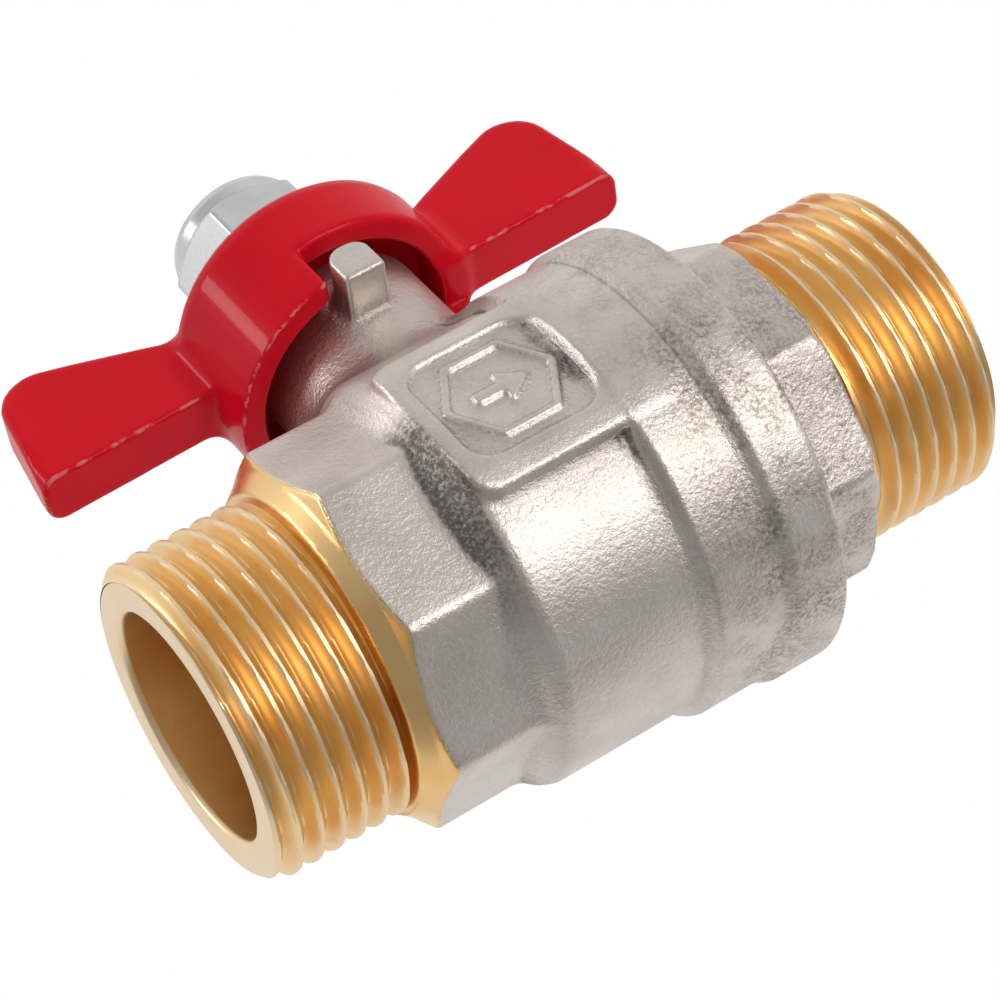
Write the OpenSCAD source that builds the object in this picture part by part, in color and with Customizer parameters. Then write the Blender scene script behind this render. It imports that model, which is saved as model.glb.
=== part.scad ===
// Full bore ball valve with two male pipe threads and a butterfly handle, in millimetres.
// Origin at the ball's centre, +X along the flow, +Z up the stem, -Y is the front with the pad.

/* [Threads] */
// Radius over the thread crests (G 1)
crest_r = 16.62; // [16.4:0.01:16.8]
// Thread pitch
pitch = 2.309; // [2.2:0.001:2.35]
// Depth of one thread groove
thread_depth = 1.45; // [1:0.05:1.6]
// Radius of the flat end faces
end_r = 15.45; // [15:0.05:16]
// Radius of the flow bore
bore_r = 12; // [10:0.1:12.2]

/* [Body] */
// Left end face, along the flow axis
left_end = -39; // [-41:0.1:-38.5]
// Right end face
right_end = 44.8; // [44:0.1:47]
// Distance across the flats of the left octagon
left_flats = 37.1; // [36.5:0.1:37.4]
// Distance across the flats of the right octagon
right_flats = 35.2; // [34.6:0.1:36]
// Radius of the housing around the ball
housing_r = 21.6; // [21.2:0.1:22]
// Radius of the raised step beside the rim
step_r = 22.85; // [22.5:0.05:23.2]
// Radius of the rim at the joint
rim_r = 23.6; // [23.4:0.1:24.4]
// Distance of the flat front pad from the flow axis
pad_y = 21.7; // [21.65:0.05:22.2]
// Radius of the neck around the stem
neck_r = 10.3; // [10:0.1:10.8]
// Height of the top of the neck
neck_top = 36.2; // [36.1:0.1:37]
// Width of the stop lug
lug_w = 4.5; // [4.2:0.1:5]
// Underside of the stop lug
lug_bottom = 26.5; // [25:0.1:27.5]
// Top of the stop lug
lug_top = 31.2; // [30:0.1:32]

/* [Ball and stem] */
// Radius of the ball
ball_r = 17.5; // [17.2:0.1:17.7]
// Radius of the stem in the neck
stem_r = 5.95; // [5.9:0.01:5.95]
// Distance across the flats of the stem's top
stem_flats = 8; // [7.5:0.1:8.5]

/* [Handle] */
// Outer radius of the handle hub
hub_r = 15.1; // [14.8:0.1:15.6]
// Thickness of the hub wall
hub_wall = 2.75; // [2:0.05:3.2]
// Height of the hub's lowest edge
skirt_bottom = 28.6; // [28:0.1:30]
// Height of the wings' lower edge
wing_bottom = 34.5; // [33.5:0.1:35]
// Underside of the hub's web
web_bottom = 38.5; // [37.5:0.1:40]
// Top of the hub
hub_top = 44.5; // [44:0.1:45]
// Thickness of the wings
wing_t = 6; // [5:0.1:7]
// Rounding of the wings' tips, seen from above
tip_r = 2; // [0.5:0.1:2.9]
// Gap between a stop face and the lug
stop_gap = 0.4; // [0.3:0.05:0.8]
// Turn of the handle from the flow axis as it stands
handle_turn = -2; // [-2:0.5:0]
// Distance across the flats of the nut
nut_flats = 16; // [15:0.1:16.4]

/* [Hidden] */
$fn = 96;
octagon_scale = 1 / cos(22.5);
chamfer = crest_r - end_r;
seat_out = 15.8;
seat_in = 12.5;
seat_end = 15.2;
joint_x = 12.4;
joint_r = 20.2;
rim_x = 20.3;
collar_z = 17.9;
gland_r = 8;
gland_z = 30.5;
washer_t = 2;
nut_z = hub_top + washer_t;
hex_h = 6.5;
nut_h = 10;
nickel = [0.72, 0.68, 0.64];
brass = [0.78, 0.6, 0.3];
white = [0.94, 0.94, 0.92];

// Which node to draw, or "all"

// A solid turned about the flow axis from [x, radius] points.
module turned(points) {
    rotate([0, 90, 0])
        rotate_extrude()
            polygon([for (p = points) [p[1], p[0]]]);
}

// A rod along the flow axis.
module rod(r, from, to) {
    translate([from, 0, 0])
        rotate([0, 90, 0])
            cylinder(r = r, h = to - from);
}

// A rod up the stem axis.
module post(r, from, to) {
    translate([0, 0, from])
        cylinder(r = r, h = to - from);
}

// A ring about the stem axis.
module ring(outer, inner, from, to) {
    difference() {
        post(outer, from, to);
        post(inner, from - 1, to + 1);
    }
}

// An eight sided bar along the flow axis with its corners turned by an angle.
module octagon_bar(flats, turn, from, to) {
    translate([from, 0, 0])
        rotate([0, 90, 0])
            rotate([0, 0, turn])
                cylinder(r = flats / 2 * octagon_scale, h = to - from, $fn = 8);
}

// Thread grooves, one pitch apart, that leave the crests standing.
module grooves(first, count) {
    for (i = [0:count - 1]) {
        x = first + i * pitch;
        turned([[x - 0.92, crest_r + 2], [x - 0.92, crest_r], [x - 0.2, crest_r - thread_depth],
            [x + 0.2, crest_r - thread_depth], [x + 0.92, crest_r], [x + 0.92, crest_r + 2]]);
    }
}

// A post about the stem axis with two flats that face the flow.
module double_d(r, flats, from, to) {
    intersection() {
        post(r, from, to);
        translate([-flats / 2, -r - 1, from])
            cube([flats, 2 * r + 2, to - from]);
    }
}

// A bore through an end face, with a small chamfer at the face.
module end_bore(face, side) {
    rod(bore_r, min(0, face + side), max(0, face + side));
    turned([[face + side, 0], [face + side, bore_r + 1.4], [face - side * 0.4, bore_r], [face - side * 0.4, 0]]);
}

module housing() {
    turned([[-14, 0], [-14, 17.6], [-13.2, 18.3], [-11, 21.2], [-10.4, housing_r], [3.6, housing_r],
        [6.5, step_r], [12.3, step_r], [15, rim_r], [19.5, rim_r], [rim_x, rim_r - 0.8], [rim_x, 0]]);
    intersection() {
        octagon_bar(left_flats, 0, -25, -11);
        turned([[-24.3, 0], [-24.3, 17.2], [-22.6, 18.4], [-21.7, 20.3], [-11, 20.3], [-11, 0]]);
    }
}

module left_thread() {
    difference() {
        turned([[left_end, 0], [left_end, end_r], [left_end + chamfer, crest_r], [-23.5, crest_r], [-23.5, 0]]);
        grooves(-36.25, 6);
    }
}

// The pad carries the raised step on towards the octagon and is cut flat in front.
module pad() {
    corner = 2.2;
    intersection() {
        rod(step_r, -11, 7);
        translate([0, -10, 0])
            rotate([90, 0, 0])
                linear_extrude(pad_y - 10)
                    polygon([[-10.4 + corner, -10.2], [7, -10.2], [7, 10.2], [-10.4 + corner, 10.2],
                        [-10.4, 10.2 - corner], [-10.4, corner - 10.2]]);
    }
}

module pad_recess() {
    floor_y = pad_y - 0.6;
    translate([0, -floor_y, 0])
        rotate([90, 0, 0])
            linear_extrude(3)
                offset(r = 2.6, $fn = 32)
                    translate([-5.8, -4.5])
                        square([8.5, 9]);
}

module neck() {
    post(neck_r, 14, neck_top - 0.8);
    translate([0, 0, neck_top - 0.8])
        cylinder(r1 = neck_r, r2 = neck_r - 0.8, h = 0.8);
    translate([0, 0, 17])
        cylinder(r1 = 14.5, r2 = neck_r, h = 7);
}

module stop_lug() {
    round_r = 1.9;
    translate([0, -8, 0])
        rotate([90, 0, 0])
            linear_extrude(8) {
                translate([-lug_w / 2, lug_bottom])
                    square([lug_w, lug_top - round_r - lug_bottom]);
                translate([round_r - lug_w / 2, lug_bottom])
                    square([lug_w - 2 * round_r, lug_top - lug_bottom]);
                for (side = [-1, 1])
                    translate([side * (lug_w / 2 - round_r), lug_top - round_r])
                        circle(round_r);
            }
}

module body() color(nickel) {
    difference() {
        union() {
            housing();
            left_thread();
            pad();
            neck();
            stop_lug();
        }
        end_bore(left_end, -1);
        rod(seat_out + 0.1, -seat_end - 0.1, 0);
        rod(18, -9.9, joint_x + 1);
        rod(joint_r, joint_x, rim_x + 1);
        post(8.3, 10, 20.9);
        post(stem_r + 0.05, 20, neck_top + 1);
        post(gland_r, gland_z, neck_top + 1);
        pad_recess();
    }
}

module end_connector() color(nickel) {
    difference() {
        union() {
            rod(joint_r - 0.05, joint_x + 0.05, rim_x + 0.1);
            intersection() {
                octagon_bar(right_flats, 27.5, rim_x + 0.05, 29);
                turned([[rim_x, 0], [rim_x, 21], [26.4, 21], [28.6, 17.8], [28.6, 0]]);
            }
            difference() {
                turned([[28, 0], [28, 17], [28.7, 17], [29.5, 15.2], [30.4, 15.2], [31.1, crest_r],
                    [right_end - chamfer, crest_r], [right_end, end_r], [right_end, 0]]);
                grooves(32.88, 5);
            }
        }
        end_bore(right_end, 1);
        rod(seat_out + 0.1, 0, seat_end + 0.1);
    }
}

module ball() color([0.86, 0.87, 0.88]) {
    difference() {
        sphere(ball_r);
        rod(bore_r, -20, 20);
        translate([-4.05, -7.2, 13.6])
            cube([8.1, 14.4, 6]);
    }
}

module seat() {
    difference() {
        rod(seat_out, 10, seat_end);
        rod(seat_in, 9, seat_end + 1);
        sphere(ball_r + 0.05);
    }
}

module seat_left() color(white) {
    mirror([1, 0, 0])
        seat();
}

module seat_right() color(white) {
    seat();
}

module stem() color(brass) {
    difference() {
        union() {
            translate([-3.95, -6.5, 13.7])
                cube([7.9, 13, 4.5]);
            post(8, collar_z, 20);
            post(stem_r, 19, web_bottom - 0.05);
            double_d(5.6, stem_flats, web_bottom - 1, hub_top);
            post(4.95, hub_top, 56.7);
            translate([0, 0, 56.7])
                cylinder(r1 = 4.95, r2 = 4.4, h = 0.5);
        }
        for (z = [23, 26.6])
            ring(8, 4.7, z, z + 2.4);
    }
}

module thrust_washer() color(white) {
    ring(gland_r, stem_r + 0.1, 20.05, 20.85);
}

module stem_o_rings() color([0.1, 0.1, 0.1]) {
    for (z = [24.2, 27.8])
        translate([0, 0, z])
            rotate_extrude()
                translate([5.35, 0])
                    circle(0.6, $fn = 32);
}

module packing_ring() color(white) {
    ring(gland_r - 0.05, stem_r + 0.1, gland_z + 0.05, gland_z + 2.5);
}

module gland_nut() color(brass) {
    difference() {
        ring(gland_r - 0.05, stem_r + 0.1, gland_z + 2.55, 36);
        translate([-10, -1, 34.6])
            cube([20, 2, 3]);
    }
}

// Half of the wings' outline, from the hub out to the rounded tip.
module wing_half() {
    polygon([[10, wing_bottom], [34.3, wing_bottom], [34.9, 35.1], [33.25, 45.7], [33, 46.7], [32.5, 47.55],
        [31.85, 48.25], [31, 48.85], [30.1, 49.2], [29.1, 49.4], [28.1, 49.35], [27.2, 49.1], [24, 47.8],
        [17.2, 45], [12.5, 43], [10, 42]]);
}

// Both wings, with their tips rounded as seen from above.
module wings() {
    intersection() {
        for (side = [0, 1])
            mirror([side, 0, 0])
                translate([0, wing_t / 2, 0])
                    rotate([90, 0, 0])
                        linear_extrude(wing_t)
                            wing_half();
        translate([0, 0, 30])
            linear_extrude(22)
                offset(tip_r)
                    square([69.8 - 2 * tip_r, wing_t - 2 * tip_r], center = true);
    }
}

module handle() color([0.8, 0.05, 0.1]) {
    inner_r = hub_r - hub_wall;
    difference() {
        rotate([0, 0, handle_turn])
            turned_handle(inner_r);
        double_d(5.65, stem_flats + 0.1, web_bottom - 1, hub_top + 1);
    }
}

module turned_handle(inner_r) {
    difference() {
        union() {
            rotate_extrude()
                polygon([[0, web_bottom], [inner_r, web_bottom], [inner_r, skirt_bottom], [hub_r, skirt_bottom],
                    [hub_r, 41.4], [14.7, 42.6], [13.6, 43.4], [11, hub_top], [0, hub_top]]);
            difference() {
                wings();
                post(inner_r, wing_bottom - 1, 60);
            }
        }
        translate([-lug_w / 2 - stop_gap, -20, 20])
            cube([30, 20 + lug_w / 2 + stop_gap, wing_bottom - 20]);
    }
}

module washer() color([0.75, 0.75, 0.74]) {
    ring(10, 5.25, hub_top, nut_z);
}

module handle_nut() color([0.75, 0.75, 0.74]) {
    corner_r = nut_flats / sqrt(3);
    difference() {
        union() {
            intersection() {
                translate([0, 0, nut_z])
                    cylinder(r = corner_r, h = hex_h, $fn = 6);
                translate([0, 0, nut_z])
                    cylinder(r1 = corner_r + 4, r2 = corner_r - 1, h = hex_h + 0.2);
            }
            translate([0, 0, nut_z + hex_h - 1])
                rotate_extrude()
                    polygon([[0, 0], [7.8, 0], [7.8, 2.6], [7.3, 3.8], [6.4, 4.4], [5.6, 4.5], [0, 4.5]]);
        }
        post(5, nut_z - 1, nut_z + nut_h + 1);
        post(6.6, nut_z + 7, nut_z + 9.1);
    }
}

module nut_insert() color([0.85, 0.87, 0.9]) {
    ring(6.55, 5, nut_z + 7.05, nut_z + 9.05);
}

body();
end_connector();
ball();
seat_left();
seat_right();
stem();
thrust_washer();
stem_o_rings();
packing_ring();
gland_nut();
handle();
washer();
handle_nut();
nut_insert();
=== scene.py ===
import math
import bpy
import numpy as np
from mathutils import Matrix, Vector


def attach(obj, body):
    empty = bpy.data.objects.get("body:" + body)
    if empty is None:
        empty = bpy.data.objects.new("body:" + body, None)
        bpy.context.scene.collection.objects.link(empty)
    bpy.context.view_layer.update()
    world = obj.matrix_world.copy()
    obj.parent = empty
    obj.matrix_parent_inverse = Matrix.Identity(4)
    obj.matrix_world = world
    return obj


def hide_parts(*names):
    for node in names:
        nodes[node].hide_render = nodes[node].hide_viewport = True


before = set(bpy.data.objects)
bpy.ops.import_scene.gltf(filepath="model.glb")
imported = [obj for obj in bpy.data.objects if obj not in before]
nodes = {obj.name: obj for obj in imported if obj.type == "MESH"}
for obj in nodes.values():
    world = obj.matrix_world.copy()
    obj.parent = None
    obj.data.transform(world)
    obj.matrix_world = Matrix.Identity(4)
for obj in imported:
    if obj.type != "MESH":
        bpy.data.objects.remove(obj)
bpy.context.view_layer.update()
mm = 0.001
print("frame loaded")

cameraSet = {
    "lens": 125.44,
    "azimuth": -115.21,
    "elevation": -37.12,
    "roll": -44.58,
    "distance": 335.76,
    "aim": (-0.89, -2.72, 3.75),
}


def placeCamera(setup):
    azimuth = math.radians(setup["azimuth"])
    elevation = math.radians(setup["elevation"])
    roll = math.radians(setup["roll"])
    flat = math.cos(elevation)
    back = Vector((flat * math.cos(azimuth), flat * math.sin(azimuth), math.sin(elevation)))
    level = back.cross(Vector((0, 0, 1))).normalized() * -1
    upright = back.cross(level)
    right = level * math.cos(roll) + upright * math.sin(roll)
    up = back.cross(right)
    aim = Vector(setup["aim"]) * mm
    data = bpy.data.cameras.new("camera")
    data.lens = setup["lens"]
    data.clip_start = 0.01
    camera = bpy.data.objects.new("camera", data)
    bpy.context.collection.objects.link(camera)
    turn = Matrix((right, up, back)).transposed().to_4x4()
    camera.matrix_world = Matrix.Translation(aim + back * setup["distance"] * mm) @ turn
    bpy.context.scene.camera = camera
    return aim, right, up, back


aim, right, up, back = placeCamera(cameraSet)


def blendMin(a, b, soft):
    share = np.clip(0.5 + 0.5 * (b - a) / soft, 0, 1)
    return b + (a - b) * share - soft * share * (1 - share)


def blendMax(a, b, soft):
    return -blendMin(-a, -b, soft)


def roundMax(a, b, radius):
    # both limits with a true round edge between them
    outer = np.hypot(np.maximum(a + radius, 0), np.maximum(b + radius, 0))
    return outer + np.minimum(np.maximum(a, b) + radius, 0) - radius


def rectangle(u, v, low, high, radius):
    du = np.abs(u - (low[0] + high[0]) / 2) - (high[0] - low[0]) / 2
    dv = np.abs(v - (low[1] + high[1]) / 2) - (high[1] - low[1]) / 2
    return roundMax(du, dv, radius)


def outline(u, v, points):
    # signed distance to a closed outline
    nearest = np.full(u.shape, 1e9)
    sign = np.ones(u.shape)
    for i, (ax, ay) in enumerate(points):
        bx, by = points[i - 1]
        ex, ey = bx - ax, by - ay
        wx, wy = u - ax, v - ay
        along = np.clip((wx * ex + wy * ey) / (ex * ex + ey * ey), 0, 1)
        nearest = np.minimum(nearest, (wx - ex * along) ** 2 + (wy - ey * along) ** 2)
        left = ex * wy > ey * wx
        flips = ((v >= ay) & (v < by) & left) | ((v < ay) & (v >= by) & ~left)
        sign = np.where(flips, -sign, sign)
    return sign * np.sqrt(nearest)


def polygonBar(u, v, flats, sides, turn, soft):
    across = None
    for k in range(sides):
        angle = math.radians(turn + 180 / sides + 360 / sides * k)
        side = u * math.cos(angle) + v * math.sin(angle) - flats / 2
        across = side if across is None else blendMax(across, side, soft)
    return across


def slope(field, points, step):
    sides = []
    for axis in range(3):
        shift = np.zeros(3)
        shift[axis] = step
        sides.append((field(*(points + shift).T), field(*(points - shift).T)))
    return sides


surface = {
    "margin": 1.5,  # cells around the piece
    "passes": 2,
    "probe": 0.05,
    "edgeReach": 0.3,
    "hollowReach": 1.7,
}


def meshFromField(name, field, low, high, cell):
    # a smooth closed mesh on the field's zero surface, one vertex in each cell that the surface crosses
    margin = surface["margin"]
    axes = [np.arange(a - margin * cell, b + (margin + 1) * cell, cell) for a, b in zip(low, high)]
    grid = np.meshgrid(*axes, indexing="ij")
    values = field(*grid)
    inside = values < 0
    size = [n - 1 for n in inside.shape]
    corners = [(i, j, k) for i in (0, 1) for j in (0, 1) for k in (0, 1)]

    def part(array, offset):
        return array[tuple(slice(o, o + n) for o, n in zip(offset, size))]

    count = sum(part(inside, c).astype(np.int8) for c in corners)
    mixed = (count > 0) & (count < 8)
    cells = np.argwhere(mixed)
    number = np.full(size, -1)
    number[mixed] = np.arange(len(cells))
    total = np.zeros((len(cells), 3))
    weight = np.zeros(len(cells))
    for axis in range(3):
        for corner in corners:
            if corner[axis]:
                continue
            other = list(corner)
            other[axis] = 1
            a = values[tuple((cells + corner).T)]
            b = values[tuple((cells + other).T)]
            crosses = (a < 0) != (b < 0)
            along = np.where(crosses, a / np.where(crosses, a - b, 1), 0)
            point = np.tile(np.array(corner, float), (len(cells), 1))
            point[:, axis] += along
            total += point * crosses[:, None]
            weight += crosses
    start = np.array([a[0] for a in axes])
    points = start + (cells + total / weight[:, None]) * cell
    probe = surface["probe"]
    for _ in range(surface["passes"]):
        sides = slope(field, points, probe)
        gradient = np.stack([(p - m) / (2 * probe) for p, m in sides], 1)
        reach = field(*points.T) / np.maximum((gradient ** 2).sum(1), 0.2)
        points = points - gradient * np.clip(reach, -cell / 2, cell / 2)[:, None]
    quads = []
    for axis in range(3):
        u, v = (axis + 1) % 3, (axis + 2) % 3
        first = np.moveaxis(inside, axis, 0)[:-1]
        second = np.moveaxis(inside, axis, 0)[1:]
        crossing = np.argwhere(np.moveaxis(first != second, 0, axis))
        crossing = crossing[(crossing[:, u] > 0) & (crossing[:, v] > 0)]
        crossing = crossing[(crossing[:, u] < size[u]) & (crossing[:, v] < size[v])]
        ring = []
        for du, dv in ((1, 1), (0, 1), (0, 0), (1, 0)):
            at = crossing.copy()
            at[:, u] -= du
            at[:, v] -= dv
            ring.append(number[tuple(at.T)])
        ring = np.stack(ring, 1)
        outward = inside[tuple(crossing.T)]
        quads.append(np.where(outward[:, None], ring, ring[:, ::-1]))
    # how sharply the surface turns close by, and how deep it sits between its neighbours
    depth = field(*points.T)
    close = slope(field, points, surface["edgeReach"])
    wide = slope(field, points, surface["hollowReach"])
    bend = (sum(p + m for p, m in close) - 6 * depth) / surface["edgeReach"] ** 2
    hollow = (6 * depth - sum(p + m for p, m in wide)) / surface["hollowReach"]
    marks = {
        "edge": np.clip(bend, 0, 4),
        "crease": np.clip(-bend, 0, 3),
        "hollow": np.clip(hollow, 0, 3),
    }
    return makeObject(name, points, np.concatenate(quads), marks)


def makeObject(name, points, faces, marks=None):
    mesh = bpy.data.meshes.new(name)
    mesh.from_pydata((points * mm).tolist(), [], faces.tolist())
    mesh.validate()
    for key, value in (marks or {}).items():
        layer = mesh.attributes.new(key, "FLOAT", "POINT")
        layer.data.foreach_set("value", value.astype(np.float32))
    mesh.polygons.foreach_set("use_smooth", [True] * len(mesh.polygons))
    piece = bpy.data.objects.new(name, mesh)
    bpy.context.collection.objects.link(piece)
    return piece


sharpAngle = math.radians(38)


def loft(name, rings):
    # a closed skin over rings of points; the last ring joins the first
    rows, steps = rings.shape[:2]
    row = np.arange(rows)[:, None]
    step = np.arange(steps)[None, :]
    nextRow = (row + 1) % rows
    nextStep = (step + 1) % steps
    here = row * steps
    ahead = nextRow * steps
    faces = np.stack([here + step, here + nextStep, ahead + nextStep, ahead + step], 2)
    piece = makeObject(name, rings.reshape(-1, 3), faces.reshape(-1, 4))
    piece.data.set_sharp_from_angle(angle=sharpAngle)
    return piece


class Wire:
    def __init__(self, sheet, socket):
        self.sheet = sheet
        self.socket = socket

    def maths(self, operation, a, b):
        return self.sheet.make("ShaderNodeMath", {"operation": operation}, {0: a, 1: b})

    def __add__(self, other):
        return self.maths("ADD", self, other)

    def __radd__(self, other):
        return self.maths("ADD", other, self)

    def __sub__(self, other):
        return self.maths("SUBTRACT", self, other)

    def __rsub__(self, other):
        return self.maths("SUBTRACT", other, self)

    def __mul__(self, other):
        return self.maths("MULTIPLY", self, other)

    def __rmul__(self, other):
        return self.maths("MULTIPLY", other, self)

    def __pow__(self, other):
        return self.maths("POWER", self, other)


class Sheet:
    # one node material, or the world, and what feeds its shader
    def __init__(self, owner):
        owner.use_nodes = True
        self.owner = owner
        self.tree = owner.node_tree
        self.shader = self.tree.nodes.get("Principled BSDF")

    def make(self, kind, settings, inputs, output=0):
        node = self.tree.nodes.new(kind)
        for key, value in settings.items():
            if key == "stops":
                self.setStops(node.color_ramp, value)
            else:
                setattr(node, key, value)
        for key, value in inputs.items():
            self.feed(node.inputs[key], value)
        return Wire(self, node.outputs[output])

    def setStops(self, ramp, stops):
        while len(ramp.elements) < len(stops):
            ramp.elements.new(0.5)
        for element, (place, colour) in zip(ramp.elements, stops):
            element.position = place
            element.color = colour

    def feed(self, socket, value):
        if isinstance(value, Wire):
            self.tree.links.new(value.socket, socket)
        else:
            socket.default_value = value

    def place(self):
        return self.make("ShaderNodeTexCoord", {}, {}, "Object")

    def axis(self, vector, index):
        return self.make("ShaderNodeSeparateXYZ", {}, {0: vector}, index)

    def noise(self, vector, scale, detail=2.0, rough=0.5):
        inputs = {"Vector": vector, "Scale": scale, "Detail": detail, "Roughness": rough}
        return self.make("ShaderNodeTexNoise", {}, inputs)

    def mark(self, name):
        return self.make("ShaderNodeAttribute", {"attribute_name": name}, {}, "Fac")

    def step(self, value, low, high):
        setup = {"interpolation_type": "SMOOTHSTEP"}
        inputs = {"Value": value, "From Min": low, "From Max": high}
        return self.make("ShaderNodeMapRange", setup, inputs)

    def band(self, value, limits):
        # a step between two limits in mm
        return self.step(value, limits[0] * mm, limits[1] * mm)

    def mix(self, share, a, b):
        return self.make("ShaderNodeMix", {"data_type": "RGBA"}, {0: share, 6: a, 7: b}, 2)

    def stretch(self, vector, factors):
        return self.make("ShaderNodeVectorMath", {"operation": "MULTIPLY"}, {0: vector, 1: factors})

    def facing(self, direction, axis):
        setup = {"operation": "DOT_PRODUCT"}
        return self.make("ShaderNodeVectorMath", setup, {0: direction, 1: tuple(axis)}, "Value")

    def bump(self, height, distance):
        self.set({"Normal": self.make("ShaderNodeBump", {}, {"Height": height, "Distance": distance})})

    def set(self, values):
        for key, value in values.items():
            self.feed(self.shader.inputs[key], value)


def newFinish(name, values):
    sheet = Sheet(bpy.data.materials.new(name))
    sheet.set(values)
    return sheet


def shade(r, g, b):
    return (r, g, b, 1.0)


brassTones = {
    "light": shade(0.90, 0.63, 0.30),
    "deep": shade(0.82, 0.50, 0.19),
    "red": shade(0.68, 0.33, 0.13),
    # paler brass for the painted highlight on crests and end faces
    "paleHighlight": shade(0.86, 0.70, 0.50),
    "roughness": 0.32,
    "turning": 0.001,
    "crest": (15.9, 16.5),  # limits in mm of each step
    "leftThread": (-24.2, -25.0),
    "rightThread": (29.5, 30.2),
    "leftFace": (-38.0, -38.9),
    "rightFace": (44.0, 44.7),
}


def radiusOf(sheet):
    place = sheet.place()
    return (sheet.axis(place, 1) ** 2 + sheet.axis(place, 2) ** 2) ** 0.5


def brassColour(sheet, tones):
    place = sheet.place()
    x = sheet.axis(place, 0)
    onThread = sheet.band(x, tones["leftThread"]) + sheet.band(x, tones["rightThread"])
    # painted highlight: the thread crests and the end faces are painted a paler brass
    crest = sheet.band(radiusOf(sheet), tones["crest"]) * onThread * 0.6
    face = sheet.band(x, tones["leftFace"]) + sheet.band(x, tones["rightFace"])
    patches = sheet.step(sheet.noise(place, 90, 3), 0.35, 0.7)
    tarnish = sheet.step(sheet.noise(place, 210, 4), 0.6, 0.8)
    colour = sheet.mix(patches, tones["light"], tones["deep"])
    colour = sheet.mix(tarnish * 0.45, colour, tones["red"])
    return sheet.mix(sheet.step(crest + face, 0.0, 1.0) * 0.8, colour, tones["paleHighlight"])


def turningLines(sheet):
    place = sheet.place()
    along = sheet.stretch(place, (1.0, 0.02, 0.02))
    return sheet.noise(along, 5200, 2) * 0.7 + sheet.noise(place, 900, 2) * 0.3


def brassFinish():
    sheet = newFinish("turnedBrass", {"Metallic": 1.0})
    lines = turningLines(sheet)
    worn = sheet.noise(sheet.place(), 260, 3)
    sheet.set({
        "Base Color": brassColour(sheet, brassTones),
        "Roughness": brassTones["roughness"] + worn * 0.12,
    })
    sheet.bump(lines, brassTones["turning"] * mm)
    return sheet.owner


nickelTones = {
    "light": shade(0.72, 0.655, 0.605),
    "dull": shade(0.56, 0.50, 0.45),
    # dark tone for grit and painted shade
    "stainAndShade": shade(0.17, 0.15, 0.135),
    "smear": shade(0.235, 0.19, 0.15),
    "grain": 0.095,
    "bore": (17.45, 17.2),  # limits in mm of each step
    "leftCone": (-32.75, -32.88),
    "rightCone": (46.57, 46.63),
}


def bareBrass(sheet, x):
    # the turned run-outs and the bore cut through the plating
    around = radiusOf(sheet)
    bore = sheet.band(around, nickelTones["bore"])
    leftCone = sheet.band(x - around * 0.5625, nickelTones["leftCone"])
    rightCone = sheet.band(x + around, nickelTones["rightCone"])
    return 1 - (1 - bore) * (1 - leftCone) * (1 - rightCone)


grimeAndShade = {
    "padFront": (-20.3, -20.8),  # limits in mm of each step
    "padEnd": (7.2, 6.2),
    "shoulderRight": (-9.5, -10.8),
    "shoulderLeft": (-15.0, -13.8),
    "shoulderTop": (5.0, 0.0),
    "shoulderFoot": (-18.5, -11.0),
    "stepLeft": (3.0, 4.2),
    "stepRight": (6.4, 5.6),
    "rim": (13.2, 13.8),
    "worn": (3.0, 13.5),
    "low": (2.0, -10.0),
    "fade": (-18.5, -12.0),
}


def grimeAndShadeOn(sheet, place, broken):
    # dark grit and painted shade in the forged hollows and creases, a painted dark reflection where the
    # left shoulder faces -x, and brown smears towards the rim, heavier towards the bottom
    g = grimeAndShade
    x = sheet.axis(place, 0)
    height = sheet.axis(place, 2)
    inPad = sheet.band(sheet.axis(place, 1), g["padFront"]) * sheet.band(x, g["padEnd"])
    # creases and hollows get grit and painted shade
    crease = sheet.step(sheet.mark("crease"), 0.2, 1.8)
    hollow = sheet.step(sheet.mark("hollow"), 0.02, 0.8)
    # painted dark reflection: the left shoulder is darkened where its surface faces -x
    normal = sheet.make("ShaderNodeNewGeometry", {}, {}, "Normal")
    shoulderDarkReflection = sheet.step(sheet.facing(normal, Vector((-1, 0, 0))), 0.2, 0.5)
    leftBand = sheet.band(x, g["shoulderRight"]) * sheet.band(x, g["shoulderLeft"])
    leftBand = leftBand * sheet.band(height, g["shoulderTop"])
    leftBand = leftBand * (0.2 + sheet.band(height, g["shoulderFoot"]) * 0.7)
    stepBand = sheet.band(x, g["stepLeft"]) * sheet.band(x, g["stepRight"])
    rimBand = sheet.band(x, g["rim"])
    nearRim = sheet.band(x, g["worn"]) * (0.45 + sheet.band(height, g["low"]) * 0.55)
    patches = sheet.step(sheet.noise(place, 200, 5, 0.6), 0.32, 0.62)
    # the grit and painted shade fade out towards the bottom
    fade = 0.12 + sheet.band(height, g["fade"]) * 0.88
    inHollow = leftBand * 0.3 + stepBand * patches * 0.8 + rimBand * 0.4
    grimeAndShadeInHollows = (shoulderDarkReflection * leftBand + hollow * fade * inHollow) * (0.5 + broken * 0.5)
    dirtAndShade = crease * fade * (0.4 - inPad * 0.3) + grimeAndShadeInHollows
    smear = patches * broken * (0.14 + nearRim * 0.8)
    return dirtAndShade, smear, hollow


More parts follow.
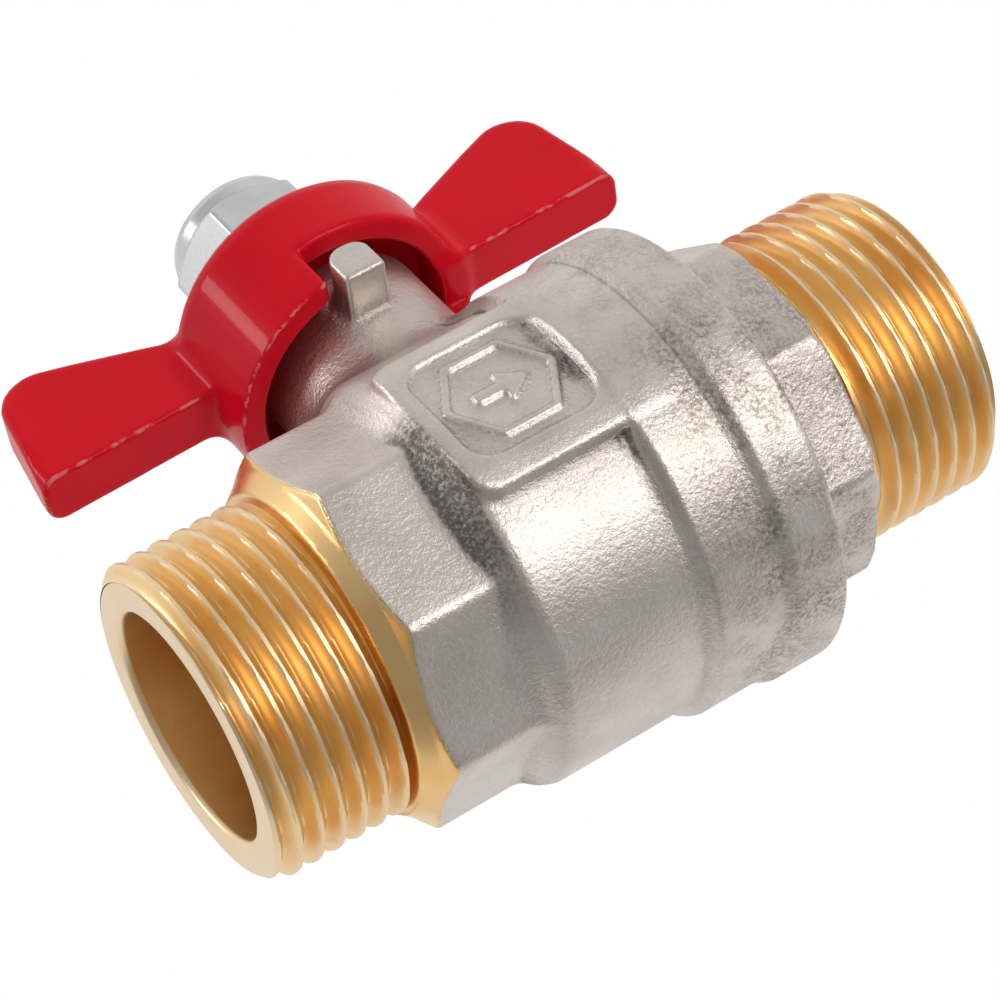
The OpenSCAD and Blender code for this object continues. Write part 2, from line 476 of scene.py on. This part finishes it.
def nickelFinish():
    sheet = newFinish("satinNickel", {"Metallic": 1.0})
    tones = nickelTones
    place = sheet.place()
    fine = sheet.noise(place, 4200, 3, 0.6)
    grain = sheet.noise(place, 1800, 3, 0.55)
    cloud = sheet.step(sheet.noise(place, 130, 4), 0.35, 0.7)
    broken = sheet.step(sheet.noise(place, 2300, 4, 0.7), 0.34, 0.66)
    dirtAndShade, smear, hollow = grimeAndShadeOn(sheet, place, broken)
    colour = sheet.mix(cloud * 0.6 + fine * 0.4, tones["light"], tones["dull"])
    colour = sheet.mix(smear, colour, tones["smear"])
    # grit and painted shade darken the plating with the dark tone
    nickel = sheet.mix(sheet.step(dirtAndShade, 0.02, 0.95), colour, tones["stainAndShade"])
    bare = bareBrass(sheet, sheet.axis(place, 0))
    sheet.set({
        "Base Color": sheet.mix(bare, nickel, brassColour(sheet, brassTones)),
        "Roughness": (1 - bare) * (0.3 + fine * 0.2 + dirtAndShade * 0.2) + bare * 0.3,
    })
    relief = (grain * 0.8 + fine * 0.45) * (1 + hollow * 1.2)
    sheet.bump(relief * (1 - bare) + turningLines(sheet) * bare * 0.05, tones["grain"] * mm)
    return sheet.owner


paintTones = {
    "red": shade(0.76, 0.003, 0.018),
    "dark": shade(0.60, 0.002, 0.012),
    # pale pink for worn paint and painted highlights on the sharp edges
    "worn": shade(0.86, 0.36, 0.37),
    "coat": 0.16,
    "coatRoughness": 0.08,
    "shine": 0.05,
    "roughness": 0.26,
    "waves": 0.03,
}


def paintFinish():
    tones = paintTones
    sheet = newFinish("redPaint", {
        "Coat Weight": tones["coat"],
        "Coat Roughness": tones["coatRoughness"],
        "Specular IOR Level": tones["shine"],
    })
    place = sheet.place()
    cloud = sheet.noise(place, 140, 3)
    # worn paint and painted highlight: the sharp edges are painted a broken pale pink
    scuffsAndGlints = sheet.step(sheet.noise(place, 620, 4), 0.45, 0.62)
    edge = sheet.step(sheet.mark("edge"), 1.5, 2.3)
    colour = sheet.mix(cloud, tones["red"], tones["dark"])
    sheet.set({
        "Base Color": sheet.mix(edge * scuffsAndGlints * 0.45, colour, tones["worn"]),
        "Roughness": tones["roughness"] + cloud * 0.1,
    })
    sheet.bump(sheet.noise(place, 420, 3), tones["waves"] * mm)
    return sheet.owner


zincTones = {
    "light": shade(0.66, 0.66, 0.665),
    "dull": shade(0.50, 0.50, 0.505),
    "roughness": 0.17,
    "grain": 0.01,
}


def zincFinish():
    sheet = newFinish("zincPlate", {"Metallic": 1.0})
    place = sheet.place()
    cloud = sheet.noise(place, 300, 4)
    sheet.set({
        "Base Color": sheet.mix(cloud, zincTones["light"], zincTones["dull"]),
        "Roughness": zincTones["roughness"] + cloud * 0.14,
    })
    sheet.bump(sheet.noise(place, 2200, 2), zincTones["grain"] * mm)
    return sheet.owner


polishTones = {
    "light": shade(0.84, 0.85, 0.86),
    "dull": shade(0.72, 0.73, 0.74),
    "roughness": 0.06,
    "scratch": 0.002,
}


def polishedFinish():
    sheet = newFinish("polishedBall", {"Metallic": 1.0})
    place = sheet.place()
    scratches = sheet.noise(sheet.stretch(place, (0.1, 1.0, 1.0)), 1800, 3)
    sheet.set({
        "Base Color": sheet.mix(scratches, polishTones["light"], polishTones["dull"]),
        "Roughness": polishTones["roughness"] + scratches * 0.08,
    })
    sheet.bump(scratches, polishTones["scratch"] * mm)
    return sheet.owner


def plasticFinish(name, light, dark, roughness):
    sheet = newFinish(name, {})
    place = sheet.place()
    cloud = sheet.noise(place, 500, 3)
    sheet.set({"Base Color": sheet.mix(cloud, light, dark), "Roughness": roughness + cloud * 0.1})
    sheet.bump(sheet.noise(place, 1800, 3), 0.01 * mm)
    return sheet.owner


brass = brassFinish()
nickel = nickelFinish()
redPaint = paintFinish()
zinc = zincFinish()
polished = polishedFinish()
ptfe = plasticFinish("ptfe", shade(0.86, 0.86, 0.82), shade(0.74, 0.74, 0.70), 0.42)
rubber = plasticFinish("blackRubber", shade(0.02, 0.02, 0.02), shade(0.035, 0.035, 0.035), 0.6)
nylon = plasticFinish("nylon", shade(0.66, 0.72, 0.80), shade(0.56, 0.63, 0.72), 0.4)
print("finishes made")


def fit(piece, material, body, slot, *replaced):
    piece.data.materials.clear()
    piece.data.materials.append(material)
    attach(piece, body)
    if replaced:
        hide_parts(*replaced)


forging = {
    "housing": 21.6,
    "step": 22.85,
    "rim": 23.6,
    "flats": 37.1,
    "octagonAt": -18,
    "octagonHalf": 6.9,
    "neck": 10.3,
    "neckTop": 36.2,
    "fillet": 4.5,
    "padDepth": 21.7,
    "pad": ((-10.4, -10.1), (12.4, 10.1), 2.4),  # two corners and their radius
    "panel": ((-8.4, -7.1), (5.4, 7.1), 2.8),
    "panelDepth": 0.65,
    "emblemDepth": 0.12,
    "lugHalf": 2.25,
    "lugTop": 31.2,
    "lugFoot": 26.5,
    "lugAt": -11,
    "lugReach": 5,
    "bore": 12.02,
    "seat": 15.9,
    "chamber": 18,
    "joint": 20.2,
}


def turnedEnd(x, y, z):
    cone = [(-24.3, -30), (-24.3, 17.1), (-22.6, 18.4), (-21.7, 20.0), (-19.5, 25), (-8, 25), (-8, -30)]
    return outline(x, np.hypot(y, z), cone)


def cavity(x, y, z):
    f = forging
    steps = [
        (-40, -30), (-40, f["bore"]), (-15.3, f["bore"]), (-15.3, f["seat"]),
        (-9.9, f["seat"]), (-9.9, f["chamber"]), (12.4, f["chamber"]),
        (12.4, f["joint"]), (30, f["joint"]), (30, -30),
    ]
    flow = outline(x, np.hypot(y, z), steps)
    well = [
        (-30, 10), (-30, 11), (8.3, 11), (8.3, 20.9), (6, 20.9),
        (6, 30.5), (8, 30.5), (8, 40), (-30, 40),
    ]
    return np.minimum(flow, outline(np.hypot(x, y), z, well))


def emblem(x, z):
    # a plain hexagon with a flow arrow in it
    u = x + 1.6
    ring = np.abs(polygonBar(u, z, 10.2, 6, 0, 0.1)) - 0.42
    arrow = [(-2.9, -3), (-2.9, 0.75), (0.1, 0.75), (0.1, 2.2), (3.3, 0), (3.3, -3)]
    return np.minimum(ring, outline(u, np.abs(z), arrow))


def forgingField(x, y, z):
    f = forging
    around = np.hypot(y, z)
    shellLine = [
        (-16, -30), (-16, 17), (-13.9, 17.6), (-12.9, 18.7), (-11.6, 20.6), (-10.7, 21.3),
        (-9.9, f["housing"]), (5.0, f["housing"]), (6.1, f["step"]), (13.3, f["step"]),
        (14.5, f["rim"]), (19.7, f["rim"]), (20.15, 23.35), (20.3, 22.8), (20.3, -30),
    ]
    shell = outline(x, around, shellLine)
    ends = np.abs(x - f["octagonAt"]) - f["octagonHalf"]
    octagon = roundMax(polygonBar(-y, z, f["flats"], 8, 0, 0.5), ends, 0.3)
    solid = blendMin(shell, blendMax(octagon, turnedEnd(x, y, z), 0.15), 1.2)
    rim = rectangle(x, z, *f["pad"])
    pad = roundMax(rim, roundMax(around - f["step"], -y - f["padDepth"], 0.4), 0.5)
    solid = blendMin(solid, np.maximum(pad, y + 8), 0.7)
    panel = rectangle(x, z, *f["panel"])
    solid = blendMax(solid, -blendMax(panel, y + f["padDepth"] - f["panelDepth"], 0.4), 0.5)
    mark = roundMax(emblem(x, z), -y - f["padDepth"] + f["emblemDepth"], 0.2)
    mark = np.maximum(mark, y + 20)
    solid = blendMin(solid, mark, 0.2)
    column = [(-20, 10), (-20, f["neckTop"]), (9.6, f["neckTop"]), (f["neck"], 35.5), (f["neck"], 10)]
    solid = blendMin(solid, outline(np.hypot(x, y), z, column), f["fillet"])
    lug = roundMax(np.abs(x) - f["lugHalf"], z - f["lugTop"], 1.9)
    lug = blendMax(lug, f["lugFoot"] - z, 0.4)
    lug = roundMax(lug, np.abs(y - f["lugAt"]) - f["lugReach"], 0.35)
    solid = blendMin(solid, lug, 0.9)
    return np.maximum(solid, -cavity(x, y, z))


body = meshFromField("forgedBody", forgingField, (-24.3, -23.6, -23.6), (20.3, 23.6, 36.2), 0.4)
fit(body, nickel, "housing", "nickel", "body")
print("forged body", len(body.data.polygons))


thread = {
    "crest": 16.62,
    "root": 15.15,
    "pitch": 2.309,
    "face": 15.45,
    "bore": 12.0,
    "crestHalf": 0.2,
    "flank": 0.95,
    "hollow": 0.6,
    "around": 240,
    "perTurn": 20,
}


def threadRadius(x, turn, crestAt):
    t = thread
    phase = (x - crestAt) / t["pitch"] + turn / (2 * math.pi)  # right-handed
    fromCrest = np.abs(phase - np.round(phase)) * t["pitch"]
    fall = np.clip((fromCrest - t["crestHalf"]) / t["flank"], 0, 1)
    fall = (1 - t["hollow"]) * fall + t["hollow"] * (1 - (1 - fall) ** 2)
    return t["crest"] - (t["crest"] - t["root"]) * fall


def threadedEnd(name, face, inner, crestAt, limits):
    # limits: (distance from the face, radius) of the turned outline that the thread is cut in
    t = thread
    side = 1 if face > inner else -1
    turn = np.linspace(0, 2 * math.pi, t["around"], endpoint=False)
    length = abs(face - inner)
    along = np.linspace(0, length, int(length / t["pitch"] * t["perTurn"]))
    mouth = [
        (length, t["bore"]), (0.75, t["bore"]), (0.35, t["bore"] + 0.05), (0.08, t["bore"] + 0.3),
        (0, t["bore"] + 0.55), (0, t["face"] - 1), (0, t["face"] - 0.15),
    ]
    rings = [(depth, np.full(t["around"], radius)) for depth, radius in mouth]
    depths, radii = zip(*limits)
    for depth in along:
        cut = threadRadius(face - side * depth, turn, crestAt)
        rings.append((depth, np.minimum(np.interp(depth, depths, radii), cut)))
    rings.append((length, np.full(t["around"], 14.0)))
    points = []
    for depth, radius in rings:
        x = np.full(t["around"], face - side * depth)
        points.append(np.stack([x, -radius * np.cos(turn), radius * np.sin(turn)], 1))
    points = np.array(points)
    return loft(name, points if side < 0 else points[:, ::-1])


leftLimits = [(0, 15.45), (1.17, 16.62), (14, 16.62), (14.8, 17.0)]
rightLimits = [
    (0, 15.45), (1.17, 16.62), (13.6, 16.62), (14.4, 15.3),
    (15.3, 15.3), (15.7, 17.0), (16.4, 17.0),
]
leftThread = threadedEnd("leftThread", -39.0, -24.2, -37.45, leftLimits)
fit(leftThread, brass, "housing", "brass")
rightThread = threadedEnd("rightThread", 44.8, 28.4, 42.87, rightLimits)
fit(rightThread, brass, "housing", "brass")
print("threads cut")


connector = {
    "flats": 35.2,
    "turn": 27.5,
    "start": 20.3,
    "end": 28.5,
    "bore": 12.02,
    "sleeve": 20.15,
    "pocket": 15.9,
}


def connectorField(x, y, z):
    c = connector
    around = np.hypot(y, z)
    bar = roundMax(polygonBar(-y, z, c["flats"], 8, -c["turn"], 0.5), c["start"] - x, 0.2)
    collar = outline(x, around, [
        (12.5, c["bore"]), (12.5, c["sleeve"]), (20.4, c["sleeve"]), (20.6, 25),
        (27.3, 25), (27.5, 19.2), (c["end"], 18.2), (c["end"], c["bore"]),
    ])
    sleeve = outline(x, around, [
        (12.5, c["bore"]), (12.5, c["sleeve"]),
        (c["start"] + 0.1, c["sleeve"]), (c["start"] + 0.1, c["bore"]),
    ])
    pocket = outline(x, around, [(10, -30), (10, c["pocket"]), (15.3, c["pocket"]), (15.3, -30)])
    solid = np.minimum(blendMax(bar, collar, 0.15), sleeve)
    return np.maximum(solid, -pocket)


rightEnd = meshFromField(
    "connectorOctagon", connectorField, (12.5, -20.2, -20.2), (28.5, 20.2, 20.2), 0.4
)
fit(rightEnd, nickel, "housing", "nickel", "end_connector")
print("connector made")


handle = {
    "hub": 15.1,
    "inner": 12.35,
    "skirt": 28.6,
    "window": 34.5,
    "web": 38.5,
    "top": 44.5,
    "wingTop": 49.3,
    "thickness": 6.0,
    "span": 34.88,
    "tip": 2.0,
    "turn": -2,
    "edge": 0.9,
    "fillet": 2.2,
    "windowHalf": 2.65,
    "stemHole": 5.65,
    "stemFlats": 4.05,
}


def handleField(px, py, z):
    h = handle
    turn = math.radians(h["turn"])
    x = px * math.cos(turn) + py * math.sin(turn)
    y = py * math.cos(turn) - px * math.sin(turn)
    out = np.hypot(x, y)
    hub = outline(out, z, [
        (-30, h["skirt"]), (h["hub"], h["skirt"]), (h["hub"], 41.2), (14.85, 42.2), (14.2, 43.0),
        (13.0, 43.6), (11.0, 44.2), (9.8, h["top"]), (-30, h["top"]),
    ])
    # the stop lug stands in this window, and leaves it a quarter turn
    window = np.maximum(-h["windowHalf"] - x, y - h["windowHalf"])
    window = np.maximum(z - h["window"], window)
    hub = blendMax(hub, -window, 0.9)
    wingLine = [
        (8, 33), (34.95, 33), (34.85, 35.1), (33.25, 45.6), (33.0, 46.6), (32.5, 47.45),
        (31.85, 48.2), (31, 48.75), (30.1, 49.1), (29.1, h["wingTop"]), (28.1, 49.25),
        (27.2, 49), (24, 47.8), (17.2, 45), (12.5, 42.9), (8, 41),
    ]
    half = h["thickness"] / 2
    wing = roundMax(outline(np.abs(x), z, wingLine), np.abs(y) - half, h["edge"])
    wing = np.maximum(wing, rectangle(x, y, (-h["span"], -half), (h["span"], half), h["tip"]))
    wing = roundMax(wing, h["window"] - z, 0.35)
    solid = blendMin(hub, wing, h["fillet"])
    cup = blendMax(out - h["inner"], z - h["web"], 0.4)
    solid = blendMax(solid, -cup, 0.6)
    stemHole = np.maximum(out - h["stemHole"], np.abs(px) - h["stemFlats"])
    solid = np.maximum(solid, -stemHole)
    return np.maximum(solid, z - h["wingTop"])


grip = meshFromField("butterflyHandle", handleField, (-34.9, -15.1, 28.6), (34.9, 15.1, 49.3), 0.36)
fit(grip, redPaint, "operator", "red_paint", "handle")
print("handle made", len(grip.data.polygons))


nut = {
    "flats": 16.0,
    "foot": 46.5,
    "hexTop": 53.0,
    "top": 56.5,
    "collar": 7.9,
    "turn": 5,
    "hole": 5,
}


def nutField(x, y, z):
    n = nut
    out = np.hypot(x, y)
    hexagon = polygonBar(x, y, n["flats"], 6, n["turn"], 0.3)
    cap = outline(out, z, [
        (-30, n["foot"]), (8.1, n["foot"]), (9.6, n["foot"] + 0.8), (9.6, 51.6), (8.1, n["hexTop"]),
        (n["collar"], n["hexTop"]), (n["collar"], 54.8), (7.5, 55.7), (6.8, 56.3),
        (6.0, n["top"]), (-30, n["top"]),
    ])
    solid = roundMax(blendMax(hexagon, z - n["hexTop"], 0.2), cap, 0.15)
    collar = outline(out, z, [
        (-30, 52), (7.8, 52), (7.8, 54.7), (7.45, 55.6), (6.8, 56.2), (6.0, n["top"]), (-30, n["top"]),
    ])
    # the groove in the collar holds the nylon ring
    groove = np.maximum(out - 6.6, np.abs(z - 54.55) - 1.05)
    hole = np.minimum(out - n["hole"], groove)
    return np.maximum(np.minimum(solid, collar), -hole)


lockNut = meshFromField("lockNut", nutField, (-9.3, -9.3, 46.5), (9.3, 9.3, 56.5), 0.2)
fit(lockNut, zinc, "operator", "zinc", "handle_nut")


flatWasher = {"radius": 10, "hole": 5.25, "middle": 45.5, "half": 1, "edge": 0.35}


def washerField(x, y, z):
    w = flatWasher
    out = np.hypot(x, y)
    flat = roundMax(out - w["radius"], np.abs(z - w["middle"]) - w["half"], w["edge"])
    return np.maximum(flat, w["hole"] - out)


ring = meshFromField("washerRing", washerField, (-10, -10, 44.5), (10, 10, 46.5), 0.25)
fit(ring, zinc, "operator", "zinc", "washer")
print("nut and washer made")

# the inner pieces keep their own shape
kept = {
    "ball": polished,
    "seat_left": ptfe,
    "seat_right": ptfe,
    "stem": brass,
    "thrust_washer": ptfe,
    "stem_o_rings": rubber,
    "packing_ring": ptfe,
    "gland_nut": brass,
    "nut_insert": nylon,
}
for name, material in kept.items():
    for socket in nodes[name].material_slots:
        socket.material = material


studio = {
    "world": (0.33, 0.43, 0.68),  # grey from below to above, as the camera sees it
    "levels": (0.3, 0.55, 1.0),
    "backdrop": 0.9,
    "floor": -0.30,
    "floorHalf": 3.0,
    "floorTones": (shade(0.90, 0.90, 0.90), shade(0.88, 0.88, 0.88)),
}


def softbox(name, side, height, toward, size, power):
    data = bpy.data.lights.new(name, "AREA")
    data.shape = "RECTANGLE"
    data.size = size[0]
    data.size_y = size[1]
    data.energy = power
    lamp = bpy.data.objects.new(name, data)
    bpy.context.collection.objects.link(lamp)
    spot = aim + right * side + up * height + back * toward
    lamp.location = spot
    lamp.rotation_euler = (spot - aim).to_track_quat("Z", "Y").to_euler()


softbox("keyBox", 0.49, 0.26, 0.62, (0.42, 0.38), 2.3)
softbox("leftBox", -0.80, 0.16, 0.10, (0.12, 0.34), 1.1)


def paintWorld():
    world = bpy.data.worlds.new("studio")
    bpy.context.scene.world = world
    sheet = Sheet(world)
    tree = sheet.tree
    tree.nodes.clear()
    direction = sheet.make("ShaderNodeTexCoord", {}, {}, "Generated")
    stops = [(level, shade(grey, grey, grey)) for level, grey in zip(studio["levels"], studio["world"])]
    height = sheet.facing(direction, up) * 0.5 + 0.5
    near = sheet.make("ShaderNodeValToRGB", {"stops": stops}, {0: height})
    behind = sheet.step(sheet.facing(direction, back), 0.25, -0.15)
    wall = studio["backdrop"]
    tint = sheet.mix(behind, near, shade(wall, wall, wall))
    glow = sheet.make("ShaderNodeBackground", {}, {"Color": tint, "Strength": 1.0})
    white = sheet.make("ShaderNodeBackground", {}, {"Color": shade(1, 1, 1), "Strength": 1.0})
    seen = sheet.make("ShaderNodeLightPath", {}, {}, "Is Camera Ray")
    both = sheet.make("ShaderNodeMixShader", {}, {0: seen, 1: glow, 2: white})
    output = tree.nodes.new("ShaderNodeOutputWorld")
    tree.links.new(both.socket, output.inputs["Surface"])


paintWorld()


def layFloor():
    half = studio["floorHalf"]
    corners = [(-half, -half), (half, -half), (half, half), (-half, half)]
    mesh = bpy.data.meshes.new("floor")
    mesh.from_pydata([(x, y, studio["floor"]) for x, y in corners], [], [(0, 1, 2, 3)])
    floor = bpy.data.objects.new("floor", mesh)
    bpy.context.collection.objects.link(floor)
    sheet = newFinish("paleFloor", {"Roughness": 0.9})
    sheet.set({"Base Color": sheet.mix(sheet.noise(sheet.place(), 3), *studio["floorTones"])})
    mesh.materials.append(sheet.owner)
    # the key lamp stands below the floor, so the floor blocks no light
    floor.visible_shadow = False
    floor.visible_glossy = False
    floor.visible_diffuse = False


layFloor()
bpy.context.scene.view_settings.view_transform = "Standard"
print("studio lit")
